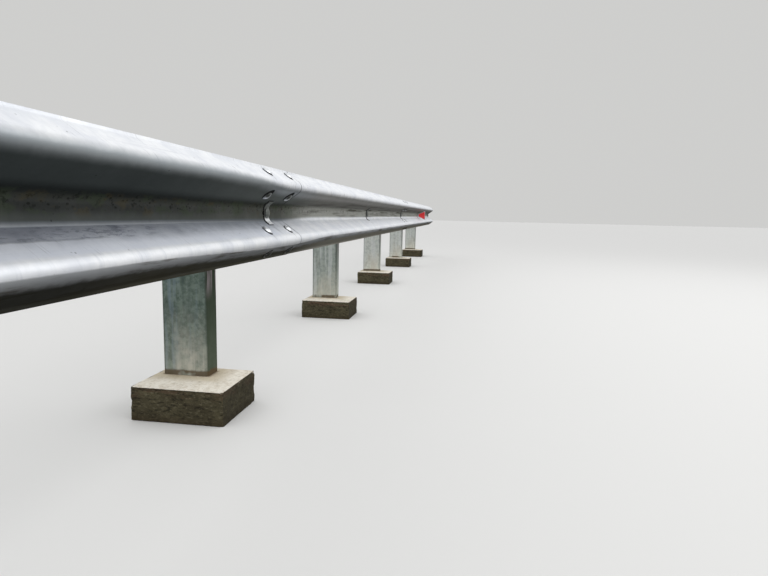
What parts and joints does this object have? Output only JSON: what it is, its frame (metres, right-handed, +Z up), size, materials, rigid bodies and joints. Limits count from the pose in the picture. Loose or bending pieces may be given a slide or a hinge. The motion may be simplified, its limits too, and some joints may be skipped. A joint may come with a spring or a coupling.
{
  "type": "highway guardrail section",
  "caption": "Steel highway guardrail: two-wave rail on channel posts with blocking pieces, set in concrete footings, with plate washers and red reflectors.",
  "frame": {"origin": "underside of the middle footing, on the centre line of its post, at ground level", "axes": "+X along the rail, from its head to its tail; the road lies on the -Y side; +Z up"},
  "size_m": [12.365, 0.5267, 0.8885],
  "materials": {
    "rail_zinc": "hot-dip galvanised, weathered, with fine spangle and streaks",
    "post_zinc": "hot-dip galvanised, dull grey-green, mottled, cement splashes low down",
    "fitting_zinc": "hot-dip galvanised plate, brighter than the rail",
    "concrete": "site-cast concrete, trowelled top and rough sides, soil stains",
    "red_reflector": "red retroreflective sheet, cellular"
  },
  "bodies": {
    "root": {"rail_1": "rail_zinc", "rail_2": "rail_zinc", "rail_3": "rail_zinc", "post_1": "post_zinc", "blocking_piece_1": "post_zinc", "footing_1": "concrete", "plate_washer_1": "fitting_zinc", "post_2": "post_zinc", "blocking_piece_2": "post_zinc", "footing_2": "concrete", "reflector_bracket_2": "fitting_zinc", "reflector_near_2": "red_reflector", "reflector_far_2": "red_reflector", "post_3": "post_zinc", "blocking_piece_3": "post_zinc", "footing_3": "concrete", "plate_washer_3": "fitting_zinc", "post_4": "post_zinc", "blocking_piece_4": "post_zinc", "footing_4": "concrete", "plate_washer_4": "fitting_zinc", "post_5": "post_zinc", "blocking_piece_5": "post_zinc", "footing_5": "concrete", "plate_washer_5": "fitting_zinc", "post_6": "post_zinc", "blocking_piece_6": "post_zinc", "footing_6": "concrete", "reflector_bracket_6": "fitting_zinc", "reflector_near_6": "red_reflector", "reflector_far_6": "red_reflector", "post_7": "post_zinc", "blocking_piece_7": "post_zinc", "footing_7": "concrete", "plate_washer_7": "fitting_zinc"}
  },
  "joints": []
}
